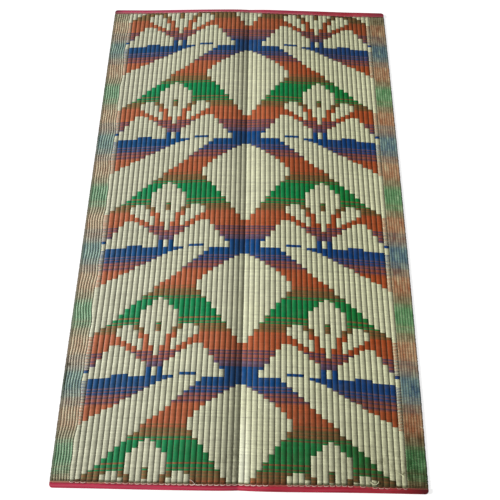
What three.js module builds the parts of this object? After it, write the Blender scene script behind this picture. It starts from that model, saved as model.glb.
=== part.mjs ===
// A woven plastic floor mat, lying flat, with the set of an old fold down its middle.
// Millimetres: +X across the mat, +Y towards its head end, +Z up.
// The origin is on the floor, under the middle of the mat.
//
// The weave is one ribbed sheet. Its ribs run the length of the mat, between lines of
// warp thread. A folded tape wraps each of its two ends; the sides are bare selvedges.

import * as THREE from 'three';

// Outline of the whole mat
const MAT_WIDTH = 1160;
const MAT_LENGTH = 1830;
const HALF_WIDTH = MAT_WIDTH / 2;
const HALF_LENGTH = MAT_LENGTH / 2;
// The right-hand side swells out a little between the two bindings
const RIGHT_BOW = 5;

// Ribs across the mat: a field each side of the crease, then one plain rib, and a
// selvedge of narrow ribs in what is left of the width
const FIELD_RIBS = 27;
const FIELD_PITCH = 18.55;
const PLAIN_RIB = 16.5;
const SELVEDGE_RIBS = 7;
const FIELD_WIDTH = FIELD_RIBS * FIELD_PITCH;

// Heights of the upper face above the floor
const GROOVE_TOP = 2.6;
const FIELD_CREST = 5;
const SELVEDGE_CREST = 4.2;
const EDGE_TOP = 2.2;

// Points across one rib: how far over it they lie, and their share of its height
const FIELD_RIB_POINTS = [
  { over: 0, rise: 0 },
  { over: 0.2, rise: 0.72 },
  { over: 0.5, rise: 1 },
  { over: 0.8, rise: 0.72 },
];
const SELVEDGE_RIB_POINTS = [
  { over: 0, rise: 0 },
  { over: 0.5, rise: 1 },
];

// The old fold is a shallow valley along x = 0, with a low hump on each side of it. The
// weave bends at these numbers of ribs from the crease: at each rib where a hump rises,
// and at every few where it dies out.
const BEND_RIBS = [0, 1, 2, 3, 4, 5, 8, 12, 16, 20, 24, 27];
const HUMP_PEAK_RIB = 5;
const HUMP_LAST_RIB = 27;
// The higher a side's steepness, the more of its hump's rise is in the first ribs
const LEFT_STEEPNESS = 2.5;
const RIGHT_STEEPNESS = 1.8;
// At the head the crease itself is off the floor, and the weave slopes from it to this rib
const FLAT_FROM_RIB = 24;
// Along the mat from foot to head: height of the crease above the floor, and of each
// hump above the slope that it stands on
const FOLD_HEIGHTS = [
  { y: -HALF_LENGTH, crease: 0, left: 4, right: 5 },
  { y: -800, crease: 0, left: 8.5, right: 9 },
  { y: -255, crease: 0, left: 5, right: 6.5 },
  { y: 180, crease: 0, left: 5, right: 8 },
  { y: 500, crease: 0.5, left: 6.5, right: 7 },
  { y: 720, crease: 1.5, left: 7, right: 6 },
  { y: HALF_LENGTH, crease: 6, left: 3, right: 2.5 },
];

// The tape of the bindings, folded over each end of the weave
const TAPE_THICKNESS = 0.9;
const TAPE_WIDTH = 18.5;
const TAPE_TOP = 5.1;
const TAPE_CORNER_RADIUS = 11;
const TAPE_FOLD_EASE = 1.6;
const CLEARANCE = 0.3;

// Inside a binding the weave is pressed thin, and lies on the tape's lower half
const BOUND_UNDERSIDE = TAPE_THICKNESS + CLEARANCE;
const BOUND_CREST = TAPE_TOP - TAPE_THICKNESS - CLEARANCE;
const BOUND_GROOVE = BOUND_CREST - 0.5;
const BOUND_EDGE = BOUND_CREST - 0.7;
// How far the weave stops short of the outside of the fold, and rounds its corners
const WEAVE_INSET = 2.7;
const CORNER_RUN = 6;
const CORNER_DRAW_IN = TAPE_CORNER_RADIUS;
// Length of weave over which the ribs rise from their pressed to their full height
const RIB_RECOVERY = 8;

const mix = THREE.MathUtils.lerp;

/** Value of one column of a table at y, on straight lines between its rows. */
function along(table, column, y) {
  for (let i = 1; i < table.length; i += 1) {
    const from = table[i - 1];
    const to = table[i];
    if (y <= to.y) return mix(from[column], to[column], (y - from.y) / (to.y - from.y));
  }
  return table[table.length - 1][column];
}

/** Share of a hump's height at a whole number of ribs from the crease. */
function humpShare(steepness, rib) {
  if (rib >= HUMP_LAST_RIB) return 0;
  if (rib <= HUMP_PEAK_RIB) return 1 - (1 - rib / HUMP_PEAK_RIB) ** steepness;
  const toGo = (HUMP_LAST_RIB - rib) / (HUMP_LAST_RIB - HUMP_PEAK_RIB);
  return toGo * toGo * (3 - 2 * toGo);
}

/** Height of the weave above the floor, which is straight from one bend to the next. */
function lift(x, y) {
  const ribsAway = Math.min(Math.abs(x) / FIELD_PITCH, HUMP_LAST_RIB);
  const next = Math.max(1, BEND_RIBS.findIndex((rib) => rib >= ribsAway));
  const [from, to] = [BEND_RIBS[next - 1], BEND_RIBS[next]];
  const [side, steepness] = x < 0 ? ['left', LEFT_STEEPNESS] : ['right', RIGHT_STEEPNESS];
  const over = (ribsAway - from) / (to - from);
  const share = mix(humpShare(steepness, from), humpShare(steepness, to), over);
  const slope = Math.max(0, 1 - ribsAway / FLAT_FROM_RIB) * along(FOLD_HEIGHTS, 'crease', y);
  return slope + share * along(FOLD_HEIGHTS, side, y);
}

/** Places across the mat where the weave bends, from left to right. */
function bends() {
  const right = BEND_RIBS.slice(1).map((rib) => rib * FIELD_PITCH);
  const left = right.map((x) => -x).reverse();
  return [...left, 0, ...right];
}

/** Ribs of the weave from left to right, each with its left side, its width and its kind. */
function ribs() {
  const selvedgePitch = (HALF_WIDTH - FIELD_WIDTH - PLAIN_RIB) / SELVEDGE_RIBS;
  const runs = [
    { count: SELVEDGE_RIBS, width: selvedgePitch, selvedge: true },
    { count: 1, width: PLAIN_RIB, selvedge: false },
    { count: 2 * FIELD_RIBS, width: FIELD_PITCH, selvedge: false },
    { count: 1, width: PLAIN_RIB, selvedge: false },
    { count: SELVEDGE_RIBS, width: selvedgePitch, selvedge: true },
  ];
  const list = [];
  let x = -HALF_WIDTH;
  for (const run of runs) {
    for (let i = 0; i < run.count; i += 1) {
      list.push({ x, width: run.width, selvedge: run.selvedge });
      x += run.width;
    }
  }
  return list;
}

/** Points across the upper face: place, height when free, and height inside a binding. */
function upperColumns() {
  const columns = [];
  for (const rib of ribs()) {
    const crest = rib.selvedge ? SELVEDGE_CREST : FIELD_CREST;
    for (const point of rib.selvedge ? SELVEDGE_RIB_POINTS : FIELD_RIB_POINTS) {
      columns.push({
        x: rib.x + point.over * rib.width,
        free: mix(GROOVE_TOP, crest, point.rise),
        bound: mix(BOUND_GROOVE, BOUND_CREST, point.rise),
      });
    }
  }
  columns[0] = { x: -HALF_WIDTH, free: EDGE_TOP, bound: BOUND_EDGE };
  columns.push({ x: HALF_WIDTH, free: EDGE_TOP, bound: BOUND_EDGE });
  return columns;
}

/** Points across the underside, which is flat where it lies on the floor. */
function lowerColumns() {
  const places = [-HALF_WIDTH, ...bends(), HALF_WIDTH];
  return places.map((x) => ({ x, free: 0, bound: BOUND_UNDERSIDE }));
}

/** Rows of the weave from foot to head: place, corner draw-in, and whether it is bound. */
function weaveRows() {
  const hidden = HALF_LENGTH - WEAVE_INSET;
  const tapeEdge = HALF_LENGTH - TAPE_WIDTH - CLEARANCE;
  const outer = [
    { y: hidden, drawIn: CORNER_DRAW_IN, bound: true },
    { y: hidden - CORNER_RUN, drawIn: 1.5, bound: true },
    { y: tapeEdge, drawIn: 0.5, bound: true },
    { y: tapeEdge - RIB_RECOVERY, drawIn: 0, bound: false },
  ];
  const inner = FOLD_HEIGHTS.slice(1, -1).map(({ y }) => ({ y, drawIn: 0, bound: false }));
  const foot = outer.map((row) => ({ ...row, y: -row.y }));
  return [...foot, ...inner, ...outer.reverse()];
}

/** Place across the mat once a side has been drawn in at a corner or has bowed out. */
function settle(x, row) {
  const selvedgeShare = Math.max(0, Math.abs(x) - FIELD_WIDTH) / (HALF_WIDTH - FIELD_WIDTH);
  const drawnIn = Math.sign(x) * row.drawIn * selvedgeShare;
  const rightShare = Math.max(0, x) / HALF_WIDTH;
  const bow = RIGHT_BOW * rightShare * (1 - (row.y / HALF_LENGTH) ** 2);
  return x - drawnIn + bow;
}

/** A closed solid swept through rings of points. The section's own axes, in the order
    that section returns them, cross to the direction of the sweep, and each ring runs
    anticlockwise on them. */
function sweep(rings, section) {
  const size = rings[0].length;
  const index = [];
  for (let r = 0; r + 1 < rings.length; r += 1) {
    for (let k = 0; k < size; k += 1) {
      const next = (k + 1) % size;
      const a = r * size + k;
      const b = r * size + next;
      const c = a + size;
      const d = b + size;
      index.push(a, b, d, a, d, c);
    }
  }
  const last = (rings.length - 1) * size;
  for (const [a, b, c] of THREE.ShapeUtils.triangulateShape(rings[0].map(section), [])) {
    index.push(a, c, b);
  }
  for (const [a, b, c] of THREE.ShapeUtils.triangulateShape(rings.at(-1).map(section), [])) {
    index.push(last + a, last + b, last + c);
  }
  const geometry = new THREE.BufferGeometry().setFromPoints(rings.flat());
  geometry.setIndex(index);
  geometry.computeVertexNormals();
  return geometry;
}

/** The weave, swept from the foot to the head. */
function weaveGeometry() {
  const upper = upperColumns();
  const lower = lowerColumns().reverse();
  const rings = weaveRows().map((row) =>
    [...upper, ...lower].map((column) => {
      const height = row.bound ? column.bound : column.free;
      return new THREE.Vector3(settle(column.x, row), row.y, lift(column.x, row.y) + height);
    }),
  );
  return sweep(rings, (point) => new THREE.Vector2(point.z, point.x));
}

/** Distance of a binding's outer fold from the middle of the mat, at a place across it. */
function foldDistance(x) {
  const past = Math.max(0, Math.abs(x) - (HALF_WIDTH - TAPE_CORNER_RADIUS));
  const drop = TAPE_CORNER_RADIUS - Math.sqrt(Math.max(0, TAPE_CORNER_RADIUS ** 2 - past ** 2));
  return HALF_LENGTH - drop;
}

/** Outline of the folded tape, with its open edges towards the middle of the mat:
    along the top to the fold, back along the bottom, and returning inside. */
function tapeSection(foldY) {
  const openY = HALF_LENGTH - TAPE_WIDTH;
  const middle = TAPE_TOP / 2;
  const outer = [
    { y: foldY - TAPE_FOLD_EASE, z: TAPE_TOP },
    { y: foldY - 0.4, z: TAPE_TOP - 1 },
    { y: foldY, z: middle },
    { y: foldY - 0.4, z: 1 },
    { y: foldY - TAPE_FOLD_EASE, z: 0 },
  ];
  const inner = [
    { y: foldY - TAPE_FOLD_EASE - CLEARANCE, z: TAPE_THICKNESS },
    { y: foldY - TAPE_THICKNESS, z: middle },
    { y: foldY - TAPE_FOLD_EASE - CLEARANCE, z: TAPE_TOP - TAPE_THICKNESS },
  ];
  return [
    { y: openY, z: TAPE_TOP },
    ...outer,
    { y: openY, z: 0 },
    { y: openY, z: TAPE_THICKNESS },
    ...inner,
    { y: openY, z: TAPE_TOP - TAPE_THICKNESS },
  ];
}

/** Places across the mat where a binding bends or rounds its corner, from left to right. */
function bindingPlaces() {
  const corner = [0, 30, 60, 90].map((degrees) => {
    const turn = THREE.MathUtils.degToRad(degrees);
    return HALF_WIDTH - TAPE_CORNER_RADIUS * (1 - Math.sin(turn));
  });
  const left = corner.map((x) => -x).reverse();
  return [...left, ...bends(), ...corner];
}

/** A binding at one end of the mat: 1 for the head, -1 for the foot. */
function bindingGeometry(end) {
  const rings = bindingPlaces().map((x) => {
    const ring = tapeSection(foldDistance(x)).map(
      ({ y, z }) => new THREE.Vector3(x, end * y, z + lift(x, end * y)),
    );
    return end > 0 ? ring.reverse() : ring;
  });
  return sweep(rings, (point) => new THREE.Vector2(point.y, point.z));
}

function plastic(colour, roughness) {
  return new THREE.MeshStandardMaterial({ color: colour, roughness, metalness: 0 });
}

function part(name, geometry, material) {
  const mesh = new THREE.Mesh(geometry, material);
  mesh.name = name;
  return mesh;
}

const strawPlastic = plastic(0xbcb896, 0.5);
const tapePlastic = plastic(0xb02a48, 0.4);

const mat = new THREE.Group();
mat.add(part('woven_body', weaveGeometry(), strawPlastic));
mat.add(part('head_binding', bindingGeometry(1), tapePlastic));
mat.add(part('foot_binding', bindingGeometry(-1), tapePlastic));

export default mat;
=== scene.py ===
"""A woven plastic floor mat lying on a studio floor, with the set of an old fold down its middle.

Shapes are worked out in millimetres on the CAD model's axes: +X across the mat, +Y towards
its head end, +Z up. They turn into metres where a mesh is made.

The mat is a double weave. In each row lie one cream and one coloured straw. On each rib one
of the two runs over the face and the other under the back, and between ribs they lie side by
side, held by warp threads. Which of them is on the face makes the pattern.
"""

import math

import bpy
import numpy as np
from mathutils import Matrix, Vector


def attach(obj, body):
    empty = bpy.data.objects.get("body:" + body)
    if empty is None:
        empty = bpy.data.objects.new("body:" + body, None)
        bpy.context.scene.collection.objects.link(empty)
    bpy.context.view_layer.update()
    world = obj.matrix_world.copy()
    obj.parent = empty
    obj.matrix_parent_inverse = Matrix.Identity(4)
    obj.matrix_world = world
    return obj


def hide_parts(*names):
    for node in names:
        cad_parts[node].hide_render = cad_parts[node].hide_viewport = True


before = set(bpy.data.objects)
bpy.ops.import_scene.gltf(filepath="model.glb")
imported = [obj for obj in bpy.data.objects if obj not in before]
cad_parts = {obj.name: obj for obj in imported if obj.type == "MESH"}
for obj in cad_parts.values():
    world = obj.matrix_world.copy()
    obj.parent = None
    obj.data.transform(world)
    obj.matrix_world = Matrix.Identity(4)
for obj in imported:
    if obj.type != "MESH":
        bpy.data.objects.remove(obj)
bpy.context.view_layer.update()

MM = 0.001
SEED = 7

# Outline and ribs of the mat, as in the CAD model
HALF_WIDTH = 580.0
HALF_LENGTH = 915.0
RIGHT_BOW = 5.0
FIELD_RIBS = 27
FIELD_PITCH = 18.55
PLAIN_RIB = 16.5
SELVEDGE_RIBS = 7
FIELD_WIDTH = FIELD_RIBS * FIELD_PITCH
SELVEDGE_START = FIELD_WIDTH + PLAIN_RIB
SELVEDGE_PITCH = (HALF_WIDTH - SELVEDGE_START) / SELVEDGE_RIBS

# The old fold is a valley along x = 0 between two low humps, as in the CAD model. Along the
# mat: the height of the crease, and of each hump above the slope that it stands on
FOLD_Y, CREASE_HEIGHT, LEFT_HEIGHT, RIGHT_HEIGHT = zip(
    (-915, 0, 4, 5),
    (-800, 0, 8.5, 9),
    (-255, 0, 5, 6.5),
    (180, 0, 5, 8),
    (500, 0.5, 6.5, 7),
    (720, 1.5, 7, 6),
    (915, 6, 3, 2.5),
)
HUMP_PEAK_RIB, HUMP_LAST_RIB = 5, 27
LEFT_STEEPNESS, RIGHT_STEEPNESS = 2.5, 1.8
FLAT_FROM_RIB = 24

# How far the ribs stray to the right along the mat, at these places across it
SWAY_X = (-580, -482, -260, 0, 260, 482, 580)
SWAY = (
    (-915, 0, -4, -3.5, -2, -1.5, 0, 0),
    (-600, -2.5, -1.5, 0.5, 0.5, 0.5, 2.5, 1),
    (-400, -2, 2.5, 4.5, 2.5, 0, 0.5, 0.5),
    (-150, -2, 5, 6, 3, -0.5, -1.5, 0.5),
    (100, -2, 3, 3.5, 2, -2, -2.5, 0),
    (350, -2, 0.5, 1.5, 0, -2.7, -2.5, 0),
    (600, -2.5, -1.2, -0.7, 0, -1.3, -1.5, 0),
    (915, -2.5, 0, 0, 0, 0, 0, 0.5),
)
SWAY_ROUNDING = 60.0
# At these distances from a tape's fold, the sides of the weave draw in by this much
DRAWN_IN_AT, DRAWN_IN_BY = (2.7, 8.7, 18.8, 26.8), (11, 1.5, 0.5, 0)
# The ribs of the left selvedge snake. Share, length and start of each wave
SNAKE, SNAKE_EASE = 2.2, 18.0
SNAKE_WAVES = ((1.0, 41, 0), (0.5, 23, 1), (0.6, 13, 2))

# Heights above the floor: a straw in a groove where it stays on the face, crosses or stays under,
# the crest of a rib, and the back's lowest line
GROOVE_OVER = 3.3
GROOVE_CROSSING = 2.8
GROOVE_UNDER = 1.6
FIELD_CREST = 5.0
BACK = 0.15
# In the selvedges, left and right, and where the straws turn at the sides
RIDGE, VALLEY = (4.2, 4.0), (2.7, 3.2)
EDGE_HEIGHT = 2.8

# Folded tapes at the two ends. Across the mat: how far the fold stands out past the CAD's end,
# and the width of tape that shows
HEAD_X, HEAD_BOW, HEAD_WIDTH = zip(
    (-580, -1, 19.5),
    (-350, 1.5, 18.5),
    (-220, 3, 17),
    (-100, 3.5, 14.5),
    (0, 4.5, 16),
    (60, 5, 20.5),
    (200, 4.5, 22.5),
    (290, 5, 23),
    (420, 4.8, 25.5),
    (480, 5, 23.8),
    (580, 3.5, 22),
)
FOOT_X, FOOT_BOW, FOOT_WIDTH = zip(
    (-580, 2.5, 19.5),
    (-290, 2, 19),
    (0, 0, 19),
    (150, 0, 20.5),
    (300, -0.5, 20.5),
    (360, -0.5, 20),
    (420, -0.3, 17),
    (580, 0, 16.5),
)
TAPE_WIDTH = 18.5
TAPE_TOP = 5.1
TAPE_THICKNESS = 0.9
TAPE_CORNER_RADIUS = 11.0
WEAVE_INSET = 2.7
RIB_RECOVERY = 6.0
PRESSED_SHARE = 0.5
# How far the open edge of a tape bulges over each wide and each narrow rib
SCALLOP, SELVEDGE_SCALLOP = 1.3, 0.3

# Rows of straws. A row is a pitch long, and row 0 starts this far from the head end at the crease
PITCH = 4.594
REPEAT = 96
FIRST_ROW_FROM_HEAD = 146.0
# Each row sags towards the foot away from the crease, by this times the distance squared
ROW_SAG = 6.9e-5
# How far the rows stray towards the foot besides, at these places across the mat
STRAY_X = (-445, -240, 0, 225, 425)
STRAY = (
    (-915, 0, 2, 2, 3, 2),
    (-735, 0, 2, 3, 3, 2),
    (-605, 3, -2, 0, -2, 5),
    (-410, -0.5, -1, -5, -1.5, -2),
    (-215, 3, 1, 0, 0.5, -1),
    (45, 3, 5.5, 0.5, 1.5, -1.5),
    (175, 9.5, 7.5, 5, 3, 0),
    (305, 3.5, 4.5, 1.5, -0.5, -3.5),
    (500, 3, 4, 0.5, 3, -4.5),
    (695, 7.5, 6, 5.5, 7, 5),
    (825, 9, 8, 5, 9, 5.5),
    (915, 9, 8, 4.5, 10, 7.5),
)
STRAY_ROUNDING = 30.0

# The coloured straws of a repeat from row 0: some rows in turn, and how many times over
WEFT_RUNS = (
    ("blue", 13),
    ("rose blue plum blue plum brick plum brick brick plum brick", 1),
    ("orange", 13),
    ("rust orange rust olive rust olive rust olive green olive", 1),
    ("green", 14),
    ("rust green green olive green rust olive rust olive rust rust", 1),
    ("orange", 13),
    ("plum brick plum brick brick plum brick plum rose plum plum", 1),
)
# Before this row, next to the head end, olive straws take the place of the green ones
OLIVE_BEFORE_ROW = -30

# Rows of a repeat in which each rib's face is coloured, rib by rib from the crease outwards.
# Both halves of the mat are the same. A run that reaches past the repeat goes on in the next.
FACE_RUNS = (
    ((80, 108),),
    ((75, 110),),
    ((70, 112),),
    ((65, 98), (103, 114)),
    ((60, 94), (103, 117)),
    ((55, 89), (103, 119)),
    ((50, 84), (103, 122)),
    ((46, 80), (106, 125)),
    ((41, 68), (74, 80), (100, 102), (109, 129)),
    ((16, 66), (76, 81), (100, 102)),
    ((19, 66), (79, 84), (100, 102)),
    ((22, 70), (81, 86)),
    ((26, 55), (68, 76), (84, 90), (102, 104)),
    ((29, 52), (73, 92), (102, 105)),
    ((32, 48), (81, 106)),
    ((34, 46), (64, 71), (88, 96), (102, 108)),
    ((37, 48), (81, 110)),
    ((42, 52), (73, 92), (102, 112)),
    ((44, 55), (68, 76), (84, 90), (102, 114)),
    ((48, 70), (81, 86), (102, 116)),
    ((51, 66), (79, 84), (100, 117)),
    ((54, 66), (77, 81), (100, 120)),
    ((58, 68), (74, 80), (100, 122)),
    ((62, 80), (102, 123)),
    ((65, 84), (102, 126)),
    ((67, 89), (102, 127)),
    ((70, 94), (102, 130)),
)
# On the plain rib beyond them both straws lie on the face in some rows
PLAIN_RIB_COLOURED = ((96, 98),)
PLAIN_RIB_BOTH = ((73, 96), (103, 132))


def srgb(*values):
    """Linear colour of an sRGB one given in 0 to 255."""
    out = []
    for value in values:
        share = value / 255
        out.append(share / 12.92 if share <= 0.04045 else ((share + 0.055) / 1.055) ** 2.4)
    return tuple(out)


# Colours of the straws: paler on the left of the mat, as painted haze of the light from the left,
# and deeper on its right
STRAW_COLOURS = {
    "cream": (srgb(225, 225, 196), srgb(220, 221, 182)),
    "blue": (srgb(0, 82, 140), srgb(0, 62, 122)),
    "orange": (srgb(200, 112, 74), srgb(168, 76, 34)),
    "green": (srgb(0, 150, 90), srgb(0, 124, 54)),
    "plum": (srgb(112, 84, 106), srgb(86, 62, 86)),
    "brick": (srgb(170, 98, 84), srgb(142, 74, 56)),
    "rust": (srgb(160, 112, 70), srgb(128, 84, 44)),
    "olive": (srgb(136, 122, 76), srgb(98, 84, 44)),
    "rose": (srgb(120, 104, 132), srgb(94, 76, 98)),
}
DIRT = srgb(72, 66, 40)
DUST = srgb(176, 168, 146)
# Near-white of a painted highlight on the straws
PAINTED_SHEEN = srgb(238, 242, 234)
# Pale crimson of worn patches on the tapes, and of their pale streak, a painted highlight at the
# foot
CRIMSON_WORN_AND_SHEEN = srgb(200, 92, 110)
THREAD, THREAD_DYED = srgb(255, 238, 224), srgb(214, 130, 130)
WARP = srgb(150, 140, 105)
# Dark colour that paints the shade inside the hollow weave
HOLLOW_SHADE = srgb(70, 62, 42)


def smooth(share):
    """From 0 to 1 with a soft start and end."""
    share = np.clip(share, 0, 1)
    return share * share * (3 - 2 * share)


def between(pair, share):
    """A value at this share of the way from one to the other of a pair."""
    return pair[0] + (pair[1] - pair[0]) * share


# Form of the lying mat


def hump_share(ribs_away, steepness):
    """A hump's share of its height, worked out at whole ribs and straight between them."""
    ribs = np.arange(HUMP_LAST_RIB + 1)
    rise = 1 - np.clip(1 - ribs / HUMP_PEAK_RIB, 0, 1) ** steepness
    fall = smooth((HUMP_LAST_RIB - ribs) / (HUMP_LAST_RIB - HUMP_PEAK_RIB))
    return np.interp(ribs_away, ribs, np.minimum(rise, fall))


def lift(x, y):
    """Height of the weave's underside above the floor."""
    ribs_away = np.abs(x) / FIELD_PITCH
    left = hump_share(ribs_away, LEFT_STEEPNESS) * np.interp(y, FOLD_Y, LEFT_HEIGHT)
    right = hump_share(ribs_away, RIGHT_STEEPNESS) * np.interp(y, FOLD_Y, RIGHT_HEIGHT)
    slope = np.clip(1 - ribs_away / FLAT_FROM_RIB, 0, 1) * np.interp(y, FOLD_Y, CREASE_HEIGHT)
    return slope + np.where(x < 0, left, right)


def stray(x, y, places_x, table, rounding):
    """A table's value at a place on the mat. Its corners are rounded over a length."""
    places_y = [row[0] for row in table]
    columns = list(zip(*(row[1:] for row in table)))
    total = 0
    for shift in (-rounding, 0, rounding):
        along = [np.interp(y + shift, places_y, column) for column in columns]
        for i in range(len(places_x) - 1):
            share = np.clip((x - places_x[i]) / (places_x[i + 1] - places_x[i]), 0, 1)
            total += (along[i + 1] - along[i]) * share / 3
        total += along[0] / 3
    return total


def tape_lines(x, y):
    """How far from the mat's middle the nearer tape's fold and its open edge lie."""
    at_head = np.asarray(y) > 0
    bow = np.where(at_head, np.interp(x, HEAD_X, HEAD_BOW), np.interp(x, FOOT_X, FOOT_BOW))
    width = np.where(at_head, np.interp(x, HEAD_X, HEAD_WIDTH), np.interp(x, FOOT_X, FOOT_WIDTH))
    return HALF_LENGTH + bow, HALF_LENGTH + bow - width


def over_rib(x):
    """How far over its rib a place across the mat lies, from 0 to 1."""
    away = np.abs(x)
    over = np.where(away < FIELD_WIDTH, away / FIELD_PITCH, (away - FIELD_WIDTH) / PLAIN_RIB)
    over = np.where(away < SELVEDGE_START, over, (away - SELVEDGE_START) / SELVEDGE_PITCH)
    return over % 1.0


def settle(x, y):
    """Place across the mat once its ribs have strayed and its sides have bowed and drawn in."""
    past = np.clip((np.abs(x) - FIELD_WIDTH) / (HALF_WIDTH - FIELD_WIDTH), 0, 1)
    fold, _ = tape_lines(x, y)
    from_end = fold - np.abs(y)
    draw_in = np.interp(from_end, DRAWN_IN_AT, DRAWN_IN_BY) * past
    bow = RIGHT_BOW * np.clip(x, 0, None) / HALF_WIDTH * (1 - (y / HALF_LENGTH) ** 2)
    inside = np.clip((-x - FIELD_WIDTH) / SNAKE_EASE, 0, 1)
    inside = inside * np.clip((HALF_WIDTH + x) / SNAKE_EASE, 0, 1)
    waves = sum(share * np.sin(y / length + start) for share, length, start in SNAKE_WAVES)
    snake = SNAKE * inside * waves
    sway = stray(x, y, SWAY_X, SWAY, SWAY_ROUNDING)
    return x - np.sign(x) * draw_in + bow + snake + sway


def pressed(z, x, y):
    """Height once the bindings press the weave thin, which it recovers from beside them."""
    from_tape = tape_lines(x, y)[1] - np.abs(y)
    share = between((PRESSED_SHARE, 1), smooth(from_tape / RIB_RECOVERY))
    middle = TAPE_TOP / 2
    return middle + (z - middle) * share


def on_mat(x, y, height):
    """Points of the lying mat, at places on the flat one and heights above its underside."""
    z = pressed(height, x, y) + lift(x, y)
    return np.stack([settle(x, y), y, z], axis=-1)


def face_and_back(rise):
    """Heights of a wide rib's face and back, at a share of its rise."""
    return between((GROOVE_OVER, FIELD_CREST), rise), between((GROOVE_UNDER, BACK), rise)


# Meshes


def new_object(name, data):
    """An object in the scene."""
    made = bpy.data.objects.new(name, data)
    bpy.context.collection.objects.link(made)
    return made


def mesh_piece(name, points, faces, material, uv=None, sharp=None, **attributes):
    """A mesh from points in millimetres. attributes hold a number or a colour a point, and an edge
    between two sharp points is a sharp one."""
    data = bpy.data.meshes.new(name)
    data.from_pydata(points * MM, [], faces)
    if sharp is not None:
        ends = np.empty(2 * len(data.edges), np.int32)
        data.edges.foreach_get("vertices", ends)
        data.edges.foreach_set("use_edge_sharp", sharp[ends.reshape(-1, 2)].all(axis=1))
    for key, values in attributes.items():
        values = np.asarray(values, np.float32)
        kind, field = ("FLOAT", "value") if values.ndim == 1 else ("FLOAT_COLOR", "color")
        layer = data.attributes.new(key, kind, "POINT")
        layer.data.foreach_set(field, values.ravel())
    if uv is not None:
        corners = np.empty(len(data.loops), np.int32)
        data.loops.foreach_get("vertex_index", corners)
        layer = data.uv_layers.new(name="OFBake")
        layer.data.foreach_set("uv", np.asarray(uv, np.float32)[corners].ravel())
    data.polygons.foreach_set("use_smooth", np.ones(len(data.polygons), bool))
    data.materials.append(material)
    piece = new_object(name, data)
    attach(piece, "root")
    return piece


def grid_faces(rows, columns):
    """Quads over a grid of points that is stored row by row."""
    r, c = np.meshgrid(np.arange(rows - 1), np.arange(columns - 1), indexing="ij")
    a = (r * columns + c).ravel()
    return np.stack([a, a + 1, a + columns + 1, a + columns], axis=1)


def ring_faces(rings, size):
    """Quads between closed rings of points that are stored ring by ring."""
    a = np.arange(rings - 1) * size
    faces = []
    for k in range(size):
        following = (k + 1) % size
        faces.append(np.stack([a + k, a + size + k, a + size + following, a + following], axis=1))
    return np.concatenate(faces)


# Straws


def runs_to_rows(runs):
    """True for each row of the repeat that a run covers."""
    rows = np.zeros(REPEAT, bool)
    for start, end in runs:
        rows[np.arange(start, end) % REPEAT] = True
    return rows


def weft_colours(rows):
    """The coloured straw of each row. The rows next to the head end have olive ones for green."""
    names = np.array([name for run, times in WEFT_RUNS for name in run.split() * times])
    names = names[rows % REPEAT]
    return np.where((rows < OLIVE_BEFORE_ROW) & (names == "green"), "olive", names)


COLOURED_FACE = np.array([runs_to_rows(runs) for runs in (*FACE_RUNS, PLAIN_RIB_COLOURED)])
BOTH_ON_FACE = runs_to_rows(PLAIN_RIB_BOTH)

# Where each wide rib right of the crease starts, and its width
WIDE_RIBS = [(i * FIELD_PITCH, FIELD_PITCH) for i in range(FIELD_RIBS)] + [(FIELD_WIDTH, PLAIN_RIB)]
# Points over a wide rib, with their share of its height, and over a narrow one
FIELD_POINTS = ((0.1, 0.5), (0.36, 0.95), (0.64, 0.95), (0.9, 0.5))
SELVEDGE_POINTS = ((0.25, "ridge"), (0.75, "ridge"), (1.0, "valley"))


def half_columns():
    """Columns of points from the crease out to the right side: place, rib (or -1), rise, kind."""
    columns = [(0.0, -1, 0.0, "groove")]
    for rib, (start, width) in enumerate(WIDE_RIBS):
        for over, rise in FIELD_POINTS:
            columns.append((start + over * width, rib, rise, "rib"))
        columns.append((start + width, -1, 0.0, "groove"))
    for i in range(SELVEDGE_RIBS):
        start = SELVEDGE_START + i * SELVEDGE_PITCH
        for over, kind in SELVEDGE_POINTS:
            columns.append((start + over * SELVEDGE_PITCH, -1, 0.0, kind))
    columns[-1] = (HALF_WIDTH, -1, 0.0, "edge")
    return columns


RIGHT_COLUMNS = half_columns()
ALL_COLUMNS = [(-x, rib, rise, kind) for x, rib, rise, kind in RIGHT_COLUMNS[:0:-1]] + RIGHT_COLUMNS
COLUMN_X, COLUMN_RIB, COLUMN_RISE, COLUMN_KIND = map(np.array, zip(*ALL_COLUMNS))
IN_SELVEDGE = np.abs(COLUMN_X) > SELVEDGE_START
ON_RIB = COLUMN_RIB >= 0
# Ribs and ridges counted from left to right
RIB_NUMBER = np.cumsum((COLUMN_KIND == "groove") | (COLUMN_KIND == "valley"))

FIRST_ROW, LAST_ROW = -36, 364
ALL_ROWS = np.arange(FIRST_ROW, LAST_ROW + 1)


def wander(x, y, amplitude, lengths, rng):
    """A smooth wobble over the mat, the sum of a few waves that run in all directions."""
    total = np.zeros(np.broadcast(x, y).shape)
    for length in lengths:
        for _ in range(3):
            angle, phase = rng.uniform(0, 2 * math.pi, 2)
            along = x * math.cos(angle) + y * math.sin(angle)
            total += np.sin(along * 2 * math.pi / length + phase)
    return total * amplitude / math.sqrt(3 * len(lengths))


ROW_WANDER, ROW_WANDER_LENGTHS = 0.7, (130, 240)


def row_place(x, row):
    """How far up the mat the middle line of a row lies, at a place across."""
    from_head = FIRST_ROW_FROM_HEAD + PITCH * (row + 0.5) + ROW_SAG * x**2
    y = HALF_LENGTH - from_head
    y = y - stray(x, y, STRAY_X, STRAY, STRAY_ROUNDING)
    return y + wander(x, y, ROW_WANDER, ROW_WANDER_LENGTHS, np.random.default_rng(SEED))


# Where both straws lie on the face side by side, the cream one has this share of the row
EVEN_SHARE = 0.5
# In the selvedges, left and right: its share on a ridge and in a valley, and how much that varies
ON_RIDGE, IN_VALLEY, SHARE_SPREAD = (0.58, 0.32), (0.28, 0.18), (0.05, 0.06)
LEAST_SHARE = 0.08
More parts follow.
